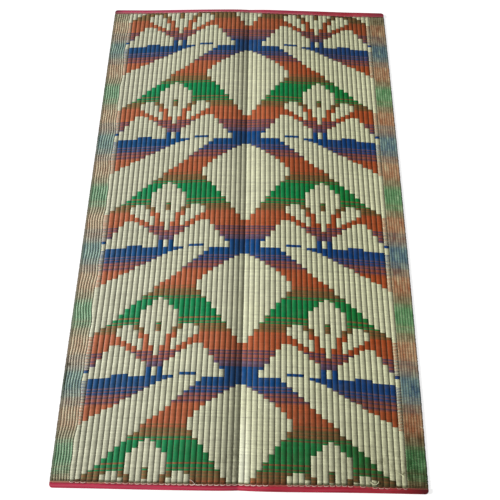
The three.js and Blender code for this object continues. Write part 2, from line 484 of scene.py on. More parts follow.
# It falls by this much at the foot, from this row on and over this many rows
LESS_AT_FOOT, LESS_FROM_ROW, LESS_OVER_ROWS = (0.0, 0.13), 290, 50
# How much of the other straw shows through these thin ones, left and right
SHOW_THROUGH = (0.8, 0.85)
# Light that has gone through both straws of a row takes more of its colour
THROUGH_TINT = {
    "blue": (0.74, 1.08, 1.0),
    "green": (0.78, 1.03, 0.98),
    "orange": (1.09, 1.2, 1.14),
    "plum": (0.98, 1.08, 1.06),
    "rust": (1.0, 1.06, 1.0),
}
DASH_ROWS = 5


def by_side(pair):
    """The left or the right one of a pair, for each column."""
    return np.where(COLUMN_X < 0, *pair)


def for_each_rib(rng, spread, count):
    """Random numbers around 0 for some rows, one for each rib or ridge."""
    return rng.normal(0, spread, (count, RIB_NUMBER.max() + 1))[:, RIB_NUMBER]


def dashes(rows):
    """Uneven spots of the selvedges, a few rows long and a ridge wide."""
    count = len(ALL_ROWS)
    spots = for_each_rib(np.random.default_rng(SEED + 2), 1, count + DASH_ROWS)
    spots = sum(spots[i : i + count] for i in range(DASH_ROWS)) / math.sqrt(DASH_ROWS)
    return spots[rows - FIRST_ROW]


def cream_share(rows):
    """The cream straw's share of each row at each column."""
    level = np.where(COLUMN_KIND == "ridge", by_side(ON_RIDGE), by_side(IN_VALLEY))
    share = level + by_side(SHARE_SPREAD) * dashes(rows)
    at_foot = smooth((rows[:, None] - LESS_FROM_ROW) / LESS_OVER_ROWS)
    share = share - by_side(LESS_AT_FOOT) * at_foot
    return np.clip(np.where(IN_SELVEDGE, share, EVEN_SHARE), LEAST_SHARE, 1 - LEAST_SHARE)


def seen_together(rows):
    """Colour of the two straws of each row together, softened over the rows beside it."""
    weights = np.array([1, 2, 3, 2, 1]) / 9
    near = weft_colours(rows[:, None] + np.arange(-2, 3))
    share = cream_share(rows)[..., None]

    def softened(colours):
        return sum(w * np.array([colours[c] for c in column]) for w, column in zip(weights, near.T))

    tint = softened({name: THROUGH_TINT.get(name, (1, 1, 1)) for name in STRAW_COLOURS})
    sides = []
    for depth in (0, 1):
        looks = {name: np.array(pair[depth]) for name, pair in STRAW_COLOURS.items()}
        both = share * looks["cream"] + (1 - share) * softened(looks)[:, None, :]
        sides.append(both * tint[:, None, :])
    return np.where(COLUMN_X[None, :, None] < 0, *sides)


# Marks on the mat: place, half width and half length, and how dark
STAINS = (
    (-131, -885, 5, 4, 0.9),
    (-10, -340, 7, 30, 0.5),
    (-30, -420, 10, 18, 0.35),
    (550, -230, 9, 22, 0.6),
    (522, -667, 8, 10, 0.6),
    (83, 329, 5, 12, 0.5),
    (83, -222, 4, 4, 0.8),
    (83, -276, 4, 4, 0.8),
    (452, 314, 6, 10, 0.4),
    (170, 624, 4, 4, 0.5),
    (578, -893, 6, 20, 0.9),
    (508, -643, 7, 9, 0.6),
    (508, -858, 3, 2.5, 0.9),
    (-567, -557, 6, 5, 2.4),
    (-576, -600, 7, 40, 2.4),
)
# The first ribs right of the crease have a painted highlight near the foot, from here on
SHEEN_FROM, SHEEN_FULL, SHEEN_X, SHEEN_REACH = 560.0, 860.0, 14.0, 26.0
SHEEN_END_EASE = 8.0
PATCH_SOIL, PATCH_WANDER, PATCH_LENGTHS = 0.25, 0.5, (45, 90, 260)
CREASE_SOIL, CREASE_SOIL_REACH = 0.5, 50.0
# Towards the ends the mat is darker, and more so on its right: dirt, and painted falloff of the
# light
END_DARK_REACH = 400.0
HEAD_DIRT_AND_SHADE = (0.3, 0.7)
FOOT_DIRT_AND_SHADE = (0.4, 1.0)
# Beside the tapes, dirt and a painted shadow: how dark, and how far from the tape, at the head and
# at the foot
HEAD_TAPE_DIRT_AND_SHADOW, FOOT_TAPE_DIRT_AND_SHADOW = (0.4, 4.5), (2.4, 8.0)
# Away from the crease, painted shade where the light falls off: how dark, from how far out and over
# how far. On the right selvedge: how soiled it is above and at the foot, which starts this far from
# the middle of the mat
OUTER_SHADE, OUTER_SHADE_FROM, OUTER_SHADE_OVER = 0.12, 230.0, 120.0
SELVEDGE_SOIL, SELVEDGE_SOIL_EASE = (0.1, 0.16), 15.0
FOOT_FROM, FOOT_OVER = 600.0, 300.0
MOST_DARKENING = 2.4


def dirt_shade_and_sheen(x, y):
    """How dark dirt and painted shade make the weave at a place. Less than 0 is a painted
    highlight.
    """
    rng = np.random.default_rng(SEED + 1)
    patches = smooth(wander(x, y, PATCH_WANDER, PATCH_LENGTHS, rng) + 0.1)
    from_tape = tape_lines(x, y)[1] - np.abs(y)
    across = smooth(x / HALF_WIDTH / 2 + 0.5)
    at_end = np.where(y > 0, between(HEAD_DIRT_AND_SHADE, across), between(FOOT_DIRT_AND_SHADE, across))
    in_crease = np.where(x < 0.1, np.exp(-((x / CREASE_SOIL_REACH) ** 2)), 0)
    total = PATCH_SOIL * patches + CREASE_SOIL * in_crease
    total += at_end * smooth(1 - from_tape / END_DARK_REACH)
    for here, (dark, reach) in ((y > 0, HEAD_TAPE_DIRT_AND_SHADOW), (y < 0, FOOT_TAPE_DIRT_AND_SHADOW)):
        total += np.where(here, dark * smooth(1 - from_tape / reach), 0)
    total += OUTER_SHADE * smooth((np.abs(x) - OUTER_SHADE_FROM) / OUTER_SHADE_OVER)
    selvedge = between(SELVEDGE_SOIL, smooth((-y - FOOT_FROM) / FOOT_OVER))
    total += selvedge * smooth((x - SELVEDGE_START + 5) / SELVEDGE_SOIL_EASE)
    for place_x, place_y, half_width, half_length, dark in STAINS:
        away = ((x - place_x) / half_width) ** 2 + ((y - place_y) / half_length) ** 2
        total += dark * np.exp(-away)
    sheen = smooth((-y - SHEEN_FROM) / (SHEEN_FULL - SHEEN_FROM))
    sheen = sheen * np.where(x > 0, np.exp(-(((x - SHEEN_X) / SHEEN_REACH) ** 2)), 0)
    sheen = sheen * smooth(from_tape / SHEEN_END_EASE)
    return np.clip(total * (1 - sheen) - sheen, -1, MOST_DARKENING)


# On the face a straw's middle lies this far above its sides, and a narrow one's less so. On the
# back its side towards the foot lies this far above the other
TENT, SHINGLE = 0.35, 0.3
NARROW_TENT = TENT / 3
# How much its place along the mat and its height over a rib vary, and how much wider than its
# share of the row a narrow one is
STRAW_JITTER, STRAW_LIFT, OVERLAP = 0.08, 0.1, 1.08
# How far the straws' turns stand out at the sides
END_SPREAD = (0.8, 1.9)
# How dark painted shade, with a little dirt, makes the valleys of the selvedges, the turns and the
# outermost ridges, left and right
VALLEY_SHADE, EDGE_SHADE, LAST_RIDGE_SHADE = (1.15, 0.9), (2.0, 1.4), (1.6, 0.0)
# How much the tone varies from rib to rib and from row to row. The selvedges have a share of
# that, and a share of their dashes
RIB_TONE, ROW_TONE, SELVEDGE_TONE, DASH_TONE = 0.5, 0.6, 0.3, 0.7
# A straw's two sides and its middle in its strip of the UV map
UV_LANES = np.array([0.1, 0.5, 0.9])


def straw_route(rows, cream):
    """For each row and column: is the straw on the face, does it cross the other one in a
    groove, do both lie on the face, and the height of its middle line."""
    phase = rows % REPEAT
    coloured = COLOURED_FACE[np.clip(COLUMN_RIB, 0, None)][:, phase].T
    both = ((COLUMN_RIB == FIELD_RIBS) & BOTH_ON_FACE[phase][:, None]) | IN_SELVEDGE
    up = ((coloured != cream) & ON_RIB) | both

    # In a groove a straw goes over or under as in the ribs beside it, or crosses the other one
    grooves = np.flatnonzero(COLUMN_KIND == "groove")
    before, after = up[:, grooves - 1], up[:, grooves + 1]
    crossing = np.zeros(up.shape, bool)
    crossing[:, grooves] = before != after
    up[:, grooves] = before & after

    face, back = face_and_back(COLUMN_RISE)
    face = np.where(COLUMN_KIND == "ridge", by_side(RIDGE), face)
    face = np.where(COLUMN_KIND == "valley", by_side(VALLEY), face)
    face = np.where(COLUMN_KIND == "edge", EDGE_HEIGHT, face)
    height = np.where(crossing, GROOVE_CROSSING, np.where(up, face, back))
    return up, crossing, both, height


def straw_faces(up, crossing, inside):
    """Quads between the columns that lie inside the weave: two side by side where a straw is on
    the face, and one where it is on the back. Each column has three points."""
    kept = inside[:, 1:] & inside[:, :-1]
    shows = up | crossing
    on_face = shows[:, 1:] & shows[:, :-1] | up[:, 1:] | up[:, :-1]
    index = np.arange(3 * up.size).reshape(*up.shape, 3)
    a, b = index[:, :-1], index[:, 1:]
    quads = []
    for low, high, chosen in ((0, 1, on_face), (1, 2, on_face), (0, 2, ~on_face)):
        pick = kept & chosen
        corner = [a[..., high], b[..., high], b[..., low], a[..., low]]
        quad = np.stack([c[pick] for c in corner], axis=1)
        quads.append(quad if chosen is on_face else quad[:, ::-1])
    return np.concatenate(quads)


def straw_tone(rows, rng):
    """How light each straw is at each column."""
    tone = for_each_rib(rng, RIB_TONE, len(rows)) + rng.normal(0, ROW_TONE, (len(rows), 1))
    return np.where(IN_SELVEDGE, SELVEDGE_TONE * tone + DASH_TONE * dashes(rows), tone)


def groove_shade():
    """How dark dirt and painted shade make each column: 0 on a crest, and about 1 in a groove."""
    shade = np.where(IN_SELVEDGE, 0.0, 1 - COLUMN_RISE)
    shade = np.where(COLUMN_KIND == "valley", by_side(VALLEY_SHADE), shade)
    shade = np.where(COLUMN_KIND == "edge", by_side(EDGE_SHADE), shade)
    outermost = np.abs(COLUMN_X) > HALF_WIDTH - SELVEDGE_PITCH / 2
    return np.where(outermost & (COLUMN_KIND == "ridge"), by_side(LAST_RIDGE_SHADE), shade)


def straws(name, rows, cream, material, seed):
    """One piece with a straw in each of these rows: a ribbon that is tented where it lies on
    the face, and overlaps the next one like a shingle where it lies on the back."""
    rng = np.random.default_rng(seed)
    row, x = np.meshgrid(rows, COLUMN_X, indexing="ij")
    up, crossing, both, height = straw_route(rows, cream)
    uneven = for_each_rib(rng, STRAW_LIFT, len(rows)) * COLUMN_RISE
    height = height + np.where(up & ON_RIB, uneven, 0)

    # Where the two lie side by side, the cream one is on the side of the head
    narrow = crossing | both
    share = cream_share(rows) if cream else 1 - cream_share(rows)
    half = np.where(narrow, PITCH / 2 * share * OVERLAP, PITCH / 2)
    towards_head = np.where(narrow, PITCH / 2 * (1 - share) * (1 if cream else -1), 0.0)
    middle = row_place(x, row) + towards_head + rng.normal(0, STRAW_JITTER, (len(rows), 1))
    turn = (COLUMN_KIND == "edge") * rng.uniform(*END_SPREAD, (len(rows), 1))
    across = x + turn * np.sign(x)

    tent = np.where(up, TENT, np.where(narrow, NARROW_TENT, 0))
    shingle = np.where(up | narrow, 0, SHINGLE)
    places = (middle + half, middle, middle - half)
    heights = (height - tent, height, height + (shingle - tent))
    points = np.stack([on_mat(across, y, z) for y, z in zip(places, heights)], axis=2)
    inside = np.abs(middle) < tape_lines(x, middle)[0] - WEAVE_INSET - PITCH / 2
    faces = straw_faces(up, crossing, inside)

    def at_points(values):
        return np.broadcast_to(values[..., None], points.shape[:-1]).ravel()

    lane = (np.arange(len(rows))[:, None, None] + UV_LANES) / len(rows)
    lane = np.broadcast_to(lane, points.shape[:-1]).ravel()
    through = np.concatenate([seen_together(rows), np.ones((*up.shape, 1))], axis=-1)
    values = {
        "uv": np.stack([at_points(x / HALF_WIDTH / 2 + 0.5), lane], axis=1),
        "sharp": at_points(COLUMN_KIND == "groove"),
        "through": np.repeat(through.reshape(-1, 4), 3, axis=0),
        "tone": at_points(straw_tone(rows, rng)),
        "groove": at_points(groove_shade()),
        "dirt_shade_and_sheen": np.stack([dirt_shade_and_sheen(x, y) for y in places], axis=-1).ravel(),
        "thin": at_points(np.where(IN_SELVEDGE, by_side(SHOW_THROUGH), 0.0)),
    }
    # Leaves out the points that no face uses
    used, index = np.unique(faces, return_inverse=True)
    values = {key: value[used] for key, value in values.items()}
    points = points.reshape(-1, 3)[used]
    return mesh_piece(name, points, index.reshape(faces.shape), material, **values)


# Materials


class Nodes:
    """Builds a node tree: each call adds a node and returns its output."""

    def __init__(self, name):
        self.material = bpy.data.materials.new(name)
        self.material.use_nodes = True
        self.tree = self.material.node_tree
        self.shader = self.tree.nodes["Principled BSDF"]

    def add(self, kind, settings=None, inputs=None, output=0):
        node = self.tree.nodes.new(kind)
        for key, value in (settings or {}).items():
            setattr(node, key, value)
        for key, value in (inputs or {}).items():
            self.feed(node.inputs[key], value)
        return node.outputs[output]

    def feed(self, socket, value):
        """Links an output to a socket or sets its value. A colour is given as three numbers."""
        if isinstance(value, bpy.types.NodeSocket):
            self.tree.links.new(value, socket)
        else:
            socket.default_value = (*value, 1.0) if socket.type == "RGBA" else value

    def attribute(self, name, output="Fac"):
        return self.add("ShaderNodeAttribute", {"attribute_name": name}, output=output)

    def coordinate(self, axis):
        where = self.add("ShaderNodeTexCoord", output="Object")
        return self.add("ShaderNodeSeparateXYZ", inputs={0: where}, output=axis)

    def noise(self, scale, detail=2.0, stretch=(1, 1, 1), roughness=0.5):
        where = self.add("ShaderNodeTexCoord", output="Object")
        where = self.add("ShaderNodeMapping", inputs={"Vector": where, "Scale": stretch})
        inputs = {"Vector": where, "Scale": scale, "Detail": detail, "Roughness": roughness}
        return self.add("ShaderNodeTexNoise", inputs=inputs)

    def spread(self, value, low, high, to_low=0.0, to_high=1.0):
        keys = ("Value", "From Min", "From Max", "To Min", "To Max")
        inputs = dict(zip(keys, (value, low, high, to_low, to_high)))
        return self.add("ShaderNodeMapRange", {"clamp": True}, inputs)

    def maths(self, operation, a, b=0.0):
        return self.add("ShaderNodeMath", {"operation": operation}, {0: a, 1: b})

    def mix(self, share, a, b, blend="MIX"):
        settings = {"data_type": "RGBA", "blend_type": blend}
        return self.add("ShaderNodeMix", settings, {0: share, 6: a, 7: b}, output=2)

    def side(self, scale, left, right):
        """0 from this place on the left of the mat, 1 from this one on its right, unevenly."""
        drift = self.maths("MULTIPLY", self.spread(self.noise(scale), 0.3, 0.7, -1, 1), 0.15)
        across = self.maths("ADD", self.coordinate(0), drift)
        return self.spread(across, left, right)

    def finish(self, base, roughness, relief=None, strength=0.0, distance=0.0004):
        """Gives the shader its colour, roughness and relief, and returns the material."""
        self.feed(self.shader.inputs["Base Color"], base)
        self.feed(self.shader.inputs["Roughness"], roughness)
        if relief is not None:
            inputs = {"Strength": strength, "Distance": distance, "Height": relief}
            self.feed(self.shader.inputs["Normal"], self.add("ShaderNodeBump", inputs=inputs))
        return self.material


def scaled(colour, by):
    """A colour made darker or lighter."""
    return tuple(c * by for c in colour)


# Dirt and painted shade cover this much of a straw and this share of its darkening, or where that
# is more, WORST_COVER of its darkening less the last number
WORST_COVER, MOST_COVER = 0.6, 0.92
COVER_TAKEN = (0.0, WORST_COVER, 0.0)
CREAM_COVER_TAKEN = (0.15, 0.21, 0.2)
# Painted shade: the share of a straw's own colour that is left in shade
SHADED = (0.25, 0.24, 0.18)


def straw_material(name, hazed, deep, cover_taken):
    """Shiny split straw. Each has its own tone, paler on the left of the mat as painted haze of the
    light, with dirt and painted shade in the grooves, dust, flecks and a painted highlight.
    """
    n = Nodes(name)
    base = n.mix(n.side(5.0, -0.4, 0.4), hazed, deep)
    base = n.mix(n.attribute("thin"), base, n.attribute("through", "Color"))
    tone = n.spread(n.attribute("tone"), -2, 2, 0.87, 1.13)
    flecks = n.spread(n.noise(230.0, 1.0, stretch=(0.03, 1, 1)), 0.3, 0.7, 0.94, 1.06)
    base = n.mix(1.0, base, n.maths("MULTIPLY", tone, flecks), "MULTIPLY")
    dust = n.spread(n.noise(60.0, 4.0, stretch=(0.35, 1, 1), roughness=0.65), 0.5, 0.75, 0.0, 0.07)
    base = n.mix(dust, base, DUST)
    grime = n.spread(n.noise(75.0, 4.0, stretch=(1, 0.6, 1), roughness=0.7), 0.3, 0.7, 0.5, 1.35)
    dirt_and_shade = n.maths("MULTIPLY", n.attribute("dirt_shade_and_sheen"), grime)
    # Painted shade in the grooves and in the selvedges' valleys
    dark = n.maths("MULTIPLY", n.maths("POWER", n.attribute("groove"), 2.2), 0.75)
    least, by_darkening, held_back = cover_taken
    worst = n.maths("SUBTRACT", n.maths("MULTIPLY", dirt_and_shade, WORST_COVER), held_back)
    covered = n.maths("ADD", n.maths("MULTIPLY", dirt_and_shade, by_darkening), least)
    covered = n.maths("MAXIMUM", n.maths("MAXIMUM", covered, worst), dark)
    covered = n.maths("MINIMUM", covered, MOST_COVER)
    # Painted highlight where the darkening falls below 0
    base = n.mix(n.spread(n.attribute("dirt_shade_and_sheen"), -1.0, 0.0, 0.25, 0.0), base, PAINTED_SHEEN)
    # Painted shade is the straw's own colour darkened, with dirt mixed into it
    shade = n.mix(1.0, base, SHADED, "MULTIPLY")
    deeper = n.spread(n.attribute("groove"), 1.2, 2.0, 1.0, 0.25)
    shade = n.mix(1.0, shade, deeper, "MULTIPLY")
    dirt = n.spread(n.attribute("thin"), 0.0, 0.8, 0.5, 0.15)
    base = n.mix(covered, base, n.mix(dirt, shade, DIRT))
    n.shader.inputs["Specular IOR Level"].default_value = 0.22
    lines = n.noise(900.0, stretch=(0.04, 1, 1))
    return n.finish(base, n.spread(dirt_and_shade, 0.0, 0.6, 0.5, 0.7), lines, 0.25)


def inside_material():
    """Painted shade of the hollow between the two faces, seen only in the finest gaps."""
    n = Nodes("inside_shade")
    fleck = n.spread(n.noise(300.0, 3.0), 0.35, 0.65)
    base = n.mix(fleck, scaled(HOLLOW_SHADE, 0.6), scaled(HOLLOW_SHADE, 1.4))
    return n.finish(base, n.spread(fleck, 0, 1, 0.7, 0.9))


def warp_material():
    """Fine warp thread, going over and under the straws."""
    n = Nodes("warp_thread")
    turns = n.maths("MULTIPLY", n.coordinate(1), 2 * math.pi / (PITCH * MM / 2))
    wave = n.maths("SINE", turns)
    over = n.spread(wave, -0.5, 0.5)
    # Darker where the thread goes under the straws: painted shade
    base = n.mix(over, scaled(WARP, 0.45), WARP)
    return n.finish(base, n.spread(over, 0, 1, 0.85, 0.6), wave, 0.6)


# Looks of the two tapes. Places on a tape are shares of the way from its open edge to its fold
ENDS = ("head", "foot")
TAPE_LOOKS = {
    # Paler on the left of the mat, as painted haze of the light, and deep on its right
    "hazed": (srgb(198, 64, 98), srgb(206, 46, 80)),
    "deep": (srgb(174, 38, 52), srgb(170, 24, 38)),
    "rim": (srgb(206, 136, 134), srgb(176, 134, 104)),
    "rim_reach": (0.45, 0.24),
    "rim_share": (0.5, 0.85),
    "line_at": (0.97, 0.27),
    "line_share": (0.8, 0.6),
    "streak_at": (0.25, 0.62),
    # Painted shade towards the fold: its colour, where it starts and how strong
    "shade": (srgb(92, 16, 40), srgb(84, 12, 18)),
    "shade_from": (0.55, 0.9),
    "shade_share": (0.4, 0.5),
    "corner": (0.45, 0.85),
    "left_corner": (0.8, 0.0),
}


def tape_material(end):
    """Shiny plastic tape with lengthwise streaks, paler on the left of the mat as painted haze of
    the light, and deep on its right. It has worn patches and a pale streak, at the foot a painted
    highlight along its roll, a dark line, a rim along its open edge, and painted shade towards the
    fold, and darkens at the corners."""
    look = {key: pair[ENDS.index(end)] for key, pair in TAPE_LOOKS.items()}
    n = Nodes(f"{end}_tape_looks")
    across, along = n.coordinate(0), n.attribute("along")
    side = n.side(4.0, -0.2, 0.45)
    base = n.mix(side, look["hazed"], look["deep"])
    streaks = n.noise(420.0, 3.0, stretch=(0.012, 1, 1), roughness=0.6)
    base = n.mix(1.0, base, n.spread(streaks, 0.36, 0.64, 0.75, 1.25), "MULTIPLY")
    fading = n.spread(side, 0.3, 0.9, 1.0, 0.15)

    def streak(place, near, far, share):
        off = n.maths("ABSOLUTE", n.maths("SUBTRACT", along, place))
        return n.maths("MULTIPLY", n.spread(off, near, far, share, 0.0), fading)

    patches = n.noise(14.0, 3.0)
    wear_and_sheen = n.spread(patches, 0.45, 0.7, 0.0, 0.25)
    # The pale streak is a painted highlight along the roll of the foot's tape
    wear_and_sheen = n.maths("MAXIMUM", streak(look["streak_at"], 0.03, 0.16, 0.5), wear_and_sheen)
    base = n.mix(wear_and_sheen, base, CRIMSON_WORN_AND_SHEEN)
    blotches = n.spread(patches, 0.3, 0.6, 0.7, 1.2)
    corner = n.maths("MULTIPLY", n.spread(across, 0.46, 0.56, 0.0, look["corner"]), blotches)
    outwards = n.maths("MULTIPLY", across, -1.0)
    left_corner = n.spread(outwards, 0.545, 0.575, 0.0, look["left_corner"])
    line = streak(look["line_at"], 0.02, 0.08, look["line_share"])
    # Painted shade towards the fold
    dark = n.spread(along, look["shade_from"], 1.0, 0.0, look["shade_share"])
    for other in (line, corner, left_corner):
        dark = n.maths("MAXIMUM", dark, other)
    base = n.mix(dark, base, look["shade"])
    rim = n.spread(along, look["rim_reach"] * 0.6, look["rim_reach"], look["rim_share"], 0.0)
    rim = n.maths("MULTIPLY", rim, n.spread(side, 0.2, 0.7, 1.0, 0.3))
    base = n.mix(rim, base, look["rim"])
    return n.finish(base, n.spread(streaks, 0.35, 0.65, 0.3, 0.5), streaks, 0.5, 0.0005)


def thread_material(name, most_dyed):
    """Twisted thread that the tape has dyed in places."""
    n = Nodes(name)
    twist = n.noise(900.0)
    base = n.mix(n.spread(twist, 0.35, 0.65), scaled(THREAD, 0.8), THREAD)
    base = n.mix(n.spread(n.noise(35.0), 0.4, 0.6, 0.0, most_dyed), base, THREAD_DYED)
    return n.finish(base, n.spread(twist, 0, 1, 0.5, 0.8))


# Building the mat

MOST_STRAWS_A_PIECE = 150


def straw_materials():
    """A material for each colour of straw."""
    looks = {}
    for name, (hazed, deep) in STRAW_COLOURS.items():
        cover_taken = CREAM_COVER_TAKEN if name == "cream" else COVER_TAKEN
        looks[name] = straw_material(f"{name}_straw", hazed, deep, cover_taken)
    return looks


def all_straws(looks):
    """The straws of the whole mat, in pieces of one colour."""
    pieces = []
    for colour, material in looks.items():
        cream = colour == "cream"
        rows = ALL_ROWS if cream else ALL_ROWS[weft_colours(ALL_ROWS) == colour]
        parts = math.ceil(len(rows) / MOST_STRAWS_A_PIECE)
        for i, some in enumerate(np.array_split(rows, parts)):
            name = f"straws_{colour}_{i + 1}"
            piece = straws(name, some, cream, material, SEED * 100 + len(pieces))
            pieces.append(piece)
    return pieces


# The sheet between the straws: how far inside a wide rib's face and back, how far under a crossing
# and over the straw below it, its height in the selvedges, and its least thickness
INSIDE_DROP, INSIDE_GROOVE_DROP, INSIDE_RISE = 0.75, 0.25, 0.1
INSIDE_SELVEDGE, INSIDE_THINNEST = 1.9, 0.15
INSIDE_SIDE_INSET, INSIDE_END_INSET = 2.5, 2.0
# Its rows of points: how many in between, and how many in a short stretch at each end
INSIDE_ROWS, END_ROWS, END_STRETCH, END_GAP = 50, 9, 24.0, 6.0


def inside_sheet():
    """A thin closed dark sheet on the solid's folds, in the hollow of the double weave, painting
    the shade inside it.
    """
    on_flank = (COLUMN_KIND == "rib") & (COLUMN_RISE < 0.9)
    chosen = (COLUMN_KIND != "ridge") & ~on_flank
    xs, rise, kind = COLUMN_X[chosen], COLUMN_RISE[chosen], COLUMN_KIND[chosen]
    xs = xs * (HALF_WIDTH - INSIDE_SIDE_INSET) / HALF_WIDTH
    end = HALF_LENGTH - WEAVE_INSET - INSIDE_END_INSET
    near_end = np.linspace(end - END_STRETCH, end, END_ROWS)
    between = end - END_STRETCH - END_GAP
    ys = np.concatenate([-near_end[::-1], np.linspace(-between, between, INSIDE_ROWS), near_end])
    y, x = np.meshgrid(ys, xs, indexing="ij")
    face, back = face_and_back(rise)
    top = np.where(kind == "rib", face - INSIDE_DROP, GROOVE_CROSSING - INSIDE_GROOVE_DROP)
    top = np.where((kind == "valley") | (kind == "edge"), INSIDE_SELVEDGE, top)
    under = np.where(kind == "rib", back + INSIDE_DROP, GROOVE_UNDER + INSIDE_RISE)
    under = np.minimum(under, top - INSIDE_THINNEST)
    rows, columns = x.shape
    size = rows * columns
    upper = grid_faces(rows, columns)
    lower = upper[:, ::-1] + size
    index = np.arange(size).reshape(rows, columns)
    loop = np.concatenate([index[0, :-1], index[:-1, -1], index[-1, :0:-1], index[:0:-1, 0]])
    after = np.roll(loop, -1)
    rim = np.stack([after, loop, loop + size, after + size], axis=1)
    points = np.concatenate([on_mat(x, y, height).reshape(-1, 3) for height in (top, under)])
    faces = np.concatenate([upper, lower, rim])
    return mesh_piece("inside_sheet", points, faces, inside_material())


def joined(name, parts, material):
    """One mesh of several parts, each with its points and faces."""
    points, faces, count = [], [], 0
    for some_points, some_faces in parts:
        points.append(some_points)
        faces.append(some_faces + count)
        count += len(some_points)
    return mesh_piece(name, np.concatenate(points), np.concatenate(faces), material)


WARP_WIDTH, WARP_STEP = 0.7, 16.0
# How far it stands out of the grooves of the face and the back, and stops short of the ends
WARP_OUT, WARP_END_INSET = 0.12, 3.0


def warp_threads():
    """A flat thread down each groove of the face and the back."""
    end = HALF_LENGTH - WEAVE_INSET - WARP_END_INSET
    ys = np.linspace(-end, end, int(2 * end / WARP_STEP))
    y = np.repeat(ys, 2)
    quads = grid_faces(len(ys), 2)
    strips = []
    for height, facing in ((GROOVE_OVER + WARP_OUT, 1), (GROOVE_UNDER - WARP_OUT, -1)):
        for groove in COLUMN_X[COLUMN_KIND == "groove"]:
            x = groove + np.tile([-WARP_WIDTH / 2, WARP_WIDTH / 2], len(ys))
            strips.append((on_mat(x, y, height), quads[:, ::facing]))
    return joined("warp_threads", strips, warp_material())


# Binding

# The tape is folded in half
STEPS_A_RIB = 4
TAPE_RIDGES = 5
TAPE_RIDGE_HEIGHT = 0.16
FOLD_EASE = 1.6
CLEAR = 0.3
# How far the tape sinks into the grooves of the weave at its open edge, and how fast that fades
PUCKER, PUCKER_FADE = 0.7, 2.2
# Points along its flat part and around its fold, and the angle that those start at
FLAT_POINTS, FOLD_POINTS, FOLD_START = 13, 9, 0.25


def tape_section():
    """Closed outline of the folded tape: distance from its open edge, and height."""
    flat_part = np.linspace(0, TAPE_WIDTH - FOLD_EASE, FLAT_POINTS)
    waves = TAPE_RIDGE_HEIGHT * np.sin(flat_part / TAPE_WIDTH * TAPE_RIDGES * 2 * math.pi)
    skin = [(along, TAPE_TOP - TAPE_RIDGE_HEIGHT + wave) for along, wave in zip(flat_part, waves)]
    turn = [
        (TAPE_WIDTH - FOLD_EASE * (1 - math.sin(a)), TAPE_TOP / 2 + (TAPE_TOP / 2) * math.cos(a))
        for a in np.linspace(FOLD_START, math.pi - FOLD_START, FOLD_POINTS)
    ]
    under = [(along, 0.0) for along in flat_part[::-3]]
    deep, top = TAPE_WIDTH - FOLD_EASE - CLEAR, TAPE_TOP - TAPE_THICKNESS
    inner = [(0.0, TAPE_THICKNESS), (deep, TAPE_THICKNESS)]
    inner += [(TAPE_WIDTH - TAPE_THICKNESS, TAPE_TOP / 2), (deep, top), (0.0, top)]
    return np.array(skin + turn + under + inner)


def tape_places():
    """Places across the mat of a tape's sections: a few over each rib, and more at a corner."""
    straight = HALF_WIDTH - TAPE_CORNER_RADIUS
    field = np.arange(FIELD_RIBS * STEPS_A_RIB) * FIELD_PITCH / STEPS_A_RIB
    plain = FIELD_WIDTH + np.arange(STEPS_A_RIB) * PLAIN_RIB / STEPS_A_RIB
    selvedge = np.arange(SELVEDGE_START, straight - 1, SELVEDGE_PITCH / 2)
    corner = straight + TAPE_CORNER_RADIUS * np.sin(np.radians([0, 15, 30, 45, 60, 75, 86]))
    right = np.concatenate([field, plain, selvedge, corner])
    return np.concatenate([-right[:0:-1], right])


def tape_skin(x, share, end, on_top):
    """Place along the mat, and sink of the tape's face, at a share of the way to the fold. The
    tape is as wide everywhere: what it lacks on the face it has on the back."""
    fold, open_edge = tape_lines(x, end)
    open_edge = np.where(on_top, open_edge, 2 * (fold - TAPE_WIDTH) - open_edge)
    past = np.clip(np.abs(x) - (HALF_WIDTH - TAPE_CORNER_RADIUS), 0, None)
    fold = fold - (TAPE_CORNER_RADIUS - np.sqrt(TAPE_CORNER_RADIUS**2 - past**2))
    hill = np.sin(over_rib(x) * math.pi)
    bulge = np.where(np.abs(x) < SELVEDGE_START, SCALLOP, SELVEDGE_SCALLOP) * hill
    open_edge = open_edge + bulge * (1 - share)
    sink = PUCKER * (1 - hill) * np.clip(1 - share * PUCKER_FADE, 0, 1)
    return end * (open_edge + share * (fold - open_edge)), sink


def binding(name, end, material):
    """A folded tape around one end of the weave: end is 1 at the head and -1 at the foot."""
    outline = tape_section()
    xs = tape_places()
    x = np.repeat(xs[:, None], len(outline), axis=1)
    share = np.broadcast_to(outline[:, 0] / TAPE_WIDTH, x.shape)
    on_top = outline[:, 1] > TAPE_TOP / 2
    y, sink = tape_skin(x, share, end, on_top)
    z = outline[:, 1] - sink * on_top + lift(x, y)
    points = np.stack([x + stray(x, y, SWAY_X, SWAY, SWAY_ROUNDING), y, z], axis=-1)
    faces = ring_faces(len(xs), len(outline))[:, ::-end]
    along = np.where(on_top, share, 1.0).ravel()
    return mesh_piece(name, points.reshape(-1, 3), faces, material, along=along)


# Stitches and loose ends

THREAD_SIDES = 5
# For the seams, 1 is the one at the head and -1 the one at the foot
STITCH_RADIUS = {1: 0.6, -1: 1.1}
# Points of a stitch, and the share of its rib that they span
STITCH_STEPS, STITCH_SPAN = 6, (0.08, 0.92)
# How far it rises above the tape, how much its start and its dip vary, and how its radius does
STITCH_LIFT, STITCH_SPREAD, STITCH_RADIUS_SPREAD = 0.5, 0.3, (0.75, 1.1)
# A stitch hangs in a bow over each rib: from this far past the tape's open edge at the grooves
# to this far past it over the rib
STITCH_START, STITCH_DIP = {1: -0.5, -1: 0.8}, {1: 2.0, -1: 3.2}
# The share of each seam that shows, at these places across the mat
STITCHES_SHOWN = {
    1: ((-500, 0, 500), (0.7, 0.5, 0.5)),
    -1: ((-300, -200, 0, 150, 500), (0.7, 1.1, 1.1, 0.55, 0.5)),
}


